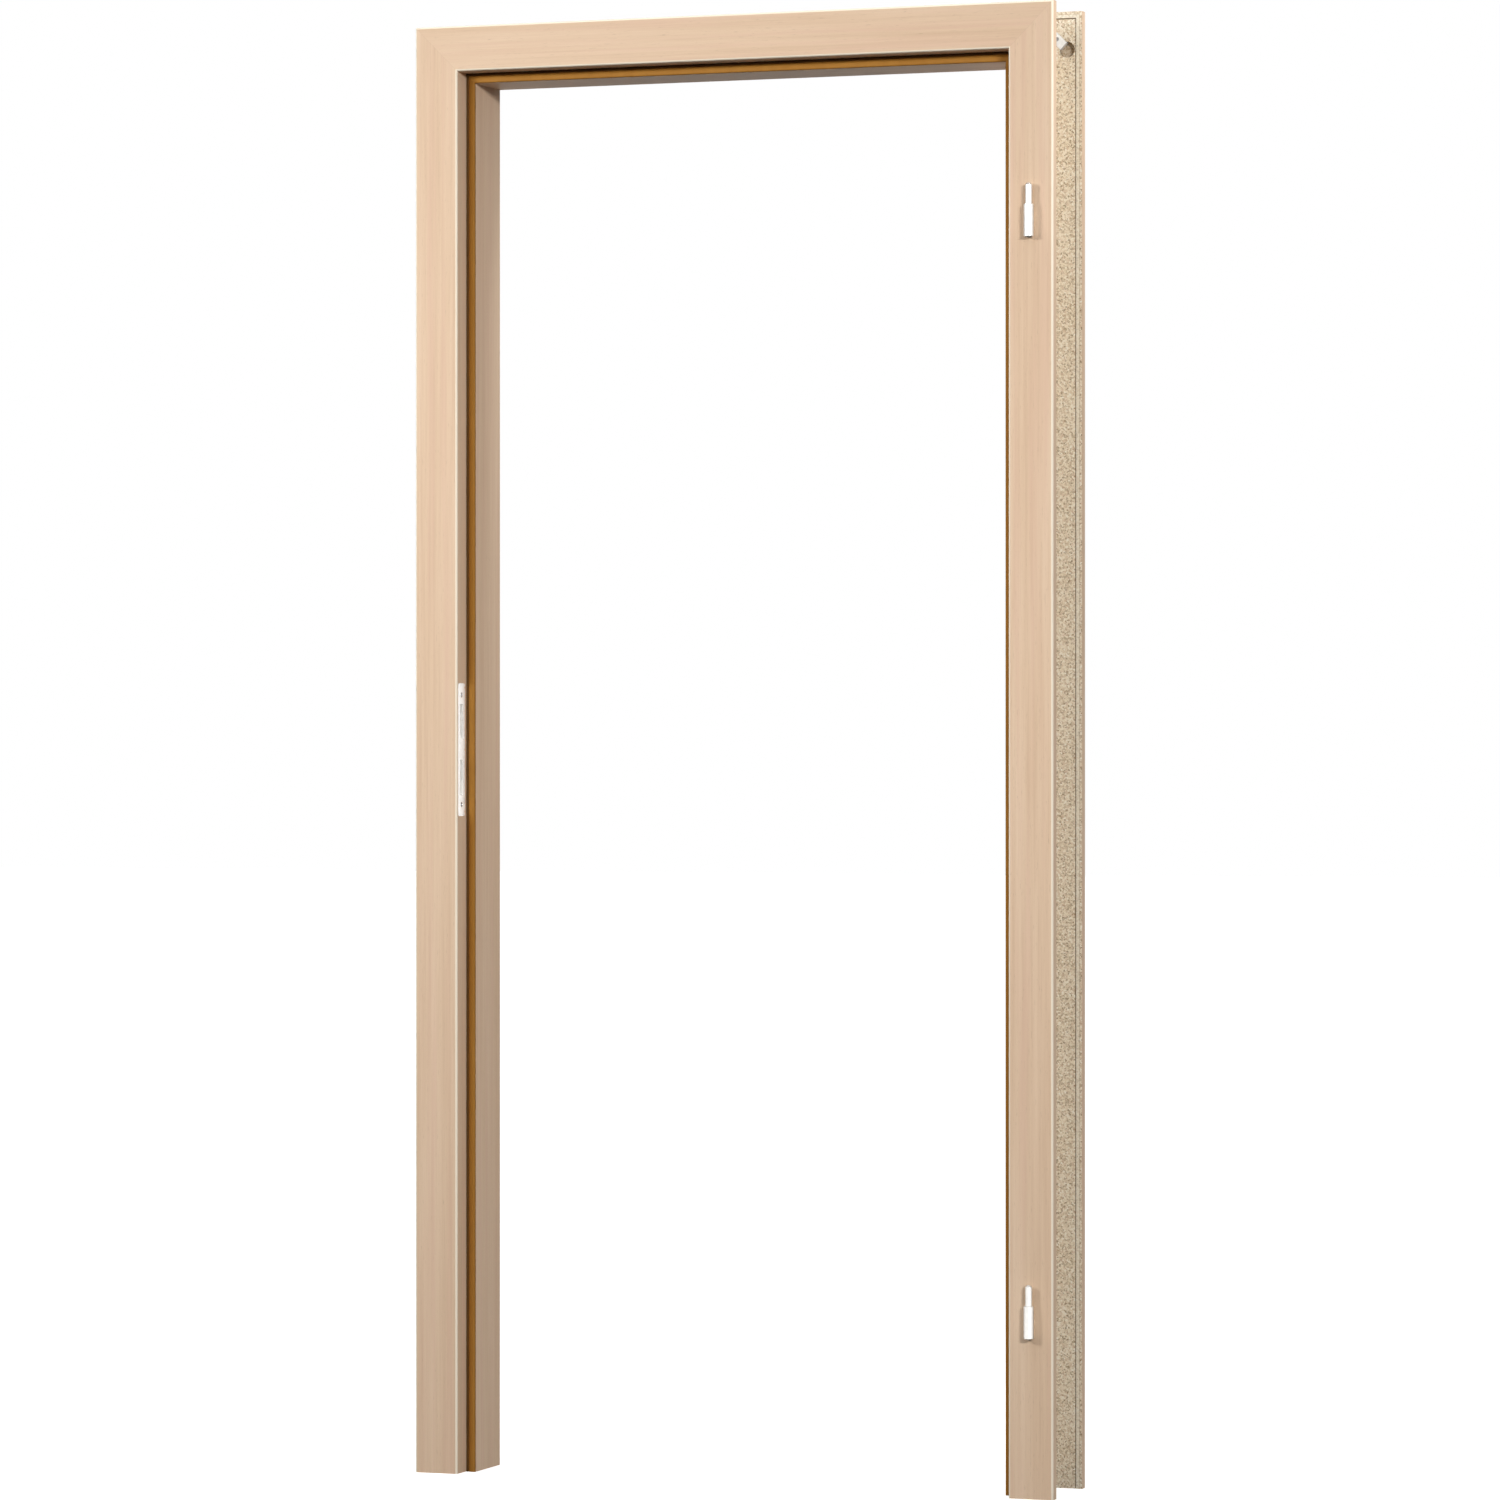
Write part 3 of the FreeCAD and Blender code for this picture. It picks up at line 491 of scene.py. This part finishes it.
def add_screws(node, names, turn):
    """Screws in a column, one above the other, with their heads towards +X."""
    low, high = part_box(node)
    length = high[0] - low[0]
    middle = (low[1] + high[1]) / 2
    for name, height in zip(names, (low[2] + HEAD_RADIUS, high[2] - HEAD_RADIUS)):
        shape = wood_screw_shape(length)
        matrix = (Matrix.Translation((high[0], middle, height)) @ Matrix.Rotation(math.pi / 2, 4, "Y")
                  @ Matrix.Rotation(turn + height, 4, "Z"))
        bmesh.ops.transform(shape, matrix=matrix, verts=shape.verts[:])
        piece = add_piece(name, shape, zinc_plate)
        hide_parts(node)


add_screws("strike_plate_screws", ("strike_screw_lower", "strike_screw_upper"), 0.35)
add_screws("hinge_receiver_screws", ("receiver_screw_lower", "receiver_screw_upper"), 1.1)


# Seals: a soft bulb along the lining and a low flange with a crease towards the rebate side. The
# profile is (outward from the passage, in front of the shoulder that the seal stands on).

SEAL_PROFILE = (
    (0.0006, -0.0001), (0.0004, 0.0007), (0.00045, 0.0016), (0.0007, 0.0026), (0.0013, 0.0034),
    (0.0022, 0.00385), (0.0034, 0.00395), (0.0054, 0.0038), (0.0072, 0.0034), (0.0087, 0.0028),
    (0.0097, 0.0021), (0.0103, 0.0013), (0.0106, 0.0007), (0.0111, 0.0006), (0.0115, 0.0009),
    (0.0119, 0.0013), (0.0125, 0.0015), (0.0134, 0.0015), (0.0142, 0.0012), (0.0147, 0.0006),
    (0.0147, -0.0001),
)
REBATE_FLOOR = FRONT + 0.035


def seal_point(side, across, proud, along):
    """The mitre runs through the corner, so a point farther out ends farther up."""
    depth = REBATE_FLOOR - proud
    if side == "head":
        return (along * (HALF_PASSAGE + across), depth, PASSAGE_HEIGHT + across)
    x = (HALF_PASSAGE + across) * (1 if side == "right" else -1)
    return (x, depth, PASSAGE_HEIGHT + across if along > 0 else 0.0)


def add_seal(side):
    shape = bmesh.new()
    ends = []
    for along in (-1, 1):
        ends.append([shape.verts.new(seal_point(side, across, proud, along))
                     for across, proud in SEAL_PROFILE])
    join_rings(shape, *ends)
    for end in ends:
        shape.faces.new(end)
    piece = add_piece(f"seal_bulb_{side}", shape, seal_brown)
    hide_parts(f"seal_{side}")


for seal_side in ("left", "right", "head"):
    add_seal(seal_side)


# Strike plate: white sleeves that line its two mortises

SLEEVE_PLACES = {"upper": 1.0805, "lower": 1.0005}
SLEEVE_HALF = (0.0061, 0.0256)
SLEEVE_WALL = 0.0007
SLEEVE_CORNER = 0.0012
SLEEVE_GAP = 0.0001
SLEEVE_END = 0.0109
CORNER_STEPS = 4
STRIKE_LOW, STRIKE_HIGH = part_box("strike_plate")


def rounded_loop(shape, x, centre, half, corner):
    """A rounded rectangle across X, as a loop of vertices."""
    loop = []
    for quarter, (side_y, side_z) in enumerate(((1, 1), (-1, 1), (-1, -1), (1, -1))):
        for step in range(CORNER_STEPS + 1):
            angle = math.pi / 2 * (quarter + step / CORNER_STEPS)
            y = centre[0] + side_y * (half[0] - corner) + corner * math.cos(angle)
            z = centre[1] + side_z * (half[1] - corner) + corner * math.sin(angle)
            loop.append(shape.verts.new((x, y, z)))
    return loop


def add_sleeve(name, height):
    centre = ((STRIKE_LOW[1] + STRIKE_HIGH[1]) / 2, height)
    near, far = STRIKE_LOW[0] - SLEEVE_GAP, STRIKE_LOW[0] - SLEEVE_END
    outside = ((SLEEVE_HALF[0] + SLEEVE_WALL, SLEEVE_HALF[1] + SLEEVE_WALL), SLEEVE_CORNER + SLEEVE_WALL)
    inside = (SLEEVE_HALF, SLEEVE_CORNER)
    shape = bmesh.new()
    loops = [rounded_loop(shape, x, centre, *wall)
             for x, wall in ((near, outside), (far, outside), (far, inside), (near, inside))]
    for index, loop in enumerate(loops):
        join_rings(shape, loops[index - 1], loop)
    add_piece(name, shape, white_plastic)


for place, height in SLEEVE_PLACES.items():
    add_sleeve(f"strike_sleeve_{place}", height)


# Hinge knuckles: a domed plug closes each from below; its dark grey is painted shade under the knuckle

HINGE_PLACE = (0.4475, FRONT - 0.0087)
KNUCKLE_TOPS = {"top": 1.7975, "bottom": 0.269}
KNUCKLE_LENGTH = 0.0454
PLUG = ((0.0002, -0.0016), (0.0022, -0.0015), (0.0038, -0.0012), (0.0049, -0.0007), (0.0053, 0.0),
        (0.0053, 0.0002))

for end, top in KNUCKLE_TOPS.items():
    plug = lathe(PLUG)
    bmesh.ops.translate(plug, vec=(*HINGE_PLACE, top - KNUCKLE_LENGTH), verts=plug.verts[:])
    add_piece(f"hinge_plug_{end}", plug, plug_painted_shade)


# Studio: a white floor and backdrop, soft light from above on all sides

LIGHT_TINT = (1.0, 0.99, 0.975)
WHITE = (1, 1, 1, 1)
WORLD_HEIGHTS = (-0.3, 0.8)
WORLD_LIGHT = (0.0, 0.6)
FLOOR_GLOW = 0.7
FLOOR_REACH = 40
SEEN = ("Is Camera Ray", "Is Glossy Ray", "Is Transmission Ray")


def light_path_switch(tree, kinds):
    """1 for the rays of any of the kinds, otherwise 0."""
    path = tree.nodes.new("ShaderNodeLightPath")
    total = None
    for kind in kinds:
        socket = path.outputs[kind]
        if total is None:
            total = socket
            continue
        most = tree.nodes.new("ShaderNodeMath")
        most.operation = "MAXIMUM"
        tree.links.new(total, most.inputs[0])
        tree.links.new(socket, most.inputs[1])
        total = most.outputs[0]
    return total


def build_world():
    """White where it is seen, and a soft light that grows with height elsewhere."""
    world = bpy.data.worlds.new("studio")
    bpy.context.scene.world = world
    world.use_nodes = True
    tree = world.node_tree
    tree.nodes.clear()
    output = tree.nodes.new("ShaderNodeOutputWorld")
    shown = tree.nodes.new("ShaderNodeBackground")
    shown.inputs["Color"].default_value = WHITE
    lit = tree.nodes.new("ShaderNodeBackground")
    lit.inputs["Color"].default_value = (*LIGHT_TINT, 1)
    place = tree.nodes.new("ShaderNodeTexCoord")
    axes = tree.nodes.new("ShaderNodeSeparateXYZ")
    tree.links.new(place.outputs["Generated"], axes.inputs[0])
    height = tree.nodes.new("ShaderNodeMapRange")
    for index, value in enumerate((*WORLD_HEIGHTS, *WORLD_LIGHT), start=1):
        height.inputs[index].default_value = value
    tree.links.new(axes.outputs[2], height.inputs[0])
    tree.links.new(height.outputs[0], lit.inputs["Strength"])
    mix = tree.nodes.new("ShaderNodeMixShader")
    tree.links.new(light_path_switch(tree, SEEN), mix.inputs[0])
    tree.links.new(lit.outputs[0], mix.inputs[1])
    tree.links.new(shown.outputs[0], mix.inputs[2])
    tree.links.new(mix.outputs[0], output.inputs["Surface"])


def build_floor():
    """White where it is seen, and dull where it throws light back on the frame."""
    mesh = bpy.data.meshes.new("floor")
    shape = bmesh.new()
    bmesh.ops.create_grid(shape, x_segments=1, y_segments=1, size=FLOOR_REACH)
    shape.to_mesh(mesh)
    shape.free()
    floor = bpy.data.objects.new("floor", mesh)
    bpy.context.collection.objects.link(floor)
    graph = Graph("floor")
    tree = graph.tree
    graph.finish(Base_Color=linear(235, 235, 235), Roughness=0.9, Specular_IOR_Level=0.1,
                 Emission_Color=WHITE, Emission_Strength=FLOOR_GLOW)
    dull = tree.nodes.new("ShaderNodeBsdfDiffuse")
    dull.inputs["Color"].default_value = linear(60, 60, 59)
    mix = tree.nodes.new("ShaderNodeMixShader")
    tree.links.new(light_path_switch(tree, SEEN), mix.inputs[0])
    tree.links.new(dull.outputs[0], mix.inputs[1])
    tree.links.new(graph.shader.outputs[0], mix.inputs[2])
    tree.links.new(mix.outputs[0], graph.output.inputs["Surface"])
    floor.data.materials.append(graph.material)


def add_area(name, place, target, size, power, spread):
    data = bpy.data.lights.new(name, "AREA")
    data.shape = "RECTANGLE"
    data.size, data.size_y = size
    data.energy = power
    data.color = LIGHT_TINT
    data.spread = math.radians(spread)
    lamp = bpy.data.objects.new(name, data)
    lamp.location = place
    lamp.rotation_euler = (Vector(target) - Vector(place)).to_track_quat("-Z", "Y").to_euler()
    bpy.context.collection.objects.link(lamp)


build_world()
build_floor()
# name, place, target, size, power in watts, spread in degrees
LAMPS = (
    ("key_left", (-2.6, -3.6, 2.75), (-0.2, 0, 1.5), (1.2, 0.9), 16, 70),
    ("key_right", (5.5, -6.5, 3.3), (0, 0, 1.35), (1.6, 1.0), 50, 65),
    ("behind", (-1.8, 4.8, 2.9), (0, 0, 1.3), (1.6, 1.0), 26, 60),
    ("side", (2.4, 0.16, 2.9), (0.48, 0, 2.05), (0.3, 0.3), 0.8, 30),
)
for lamp in LAMPS:
    add_area(*lamp)


# Camera at the photograph's viewing angle

CAMERA_PLACE = (2.97155, FRONT - 8.05046, 1.040)
CAMERA_TURN = math.radians(20.053)
LENS = 145.77


def build_camera():
    data = bpy.data.cameras.new("camera")
    data.sensor_fit = "HORIZONTAL"
    data.sensor_width = 36
    data.lens = LENS
    data.clip_end = 100
    camera = bpy.data.objects.new("camera", data)
    camera.location = CAMERA_PLACE
    camera.rotation_euler = (math.pi / 2, 0, CAMERA_TURN)
    bpy.context.collection.objects.link(camera)
    bpy.context.scene.camera = camera


build_camera()
bpy.context.scene.view_settings.view_transform = "Standard"
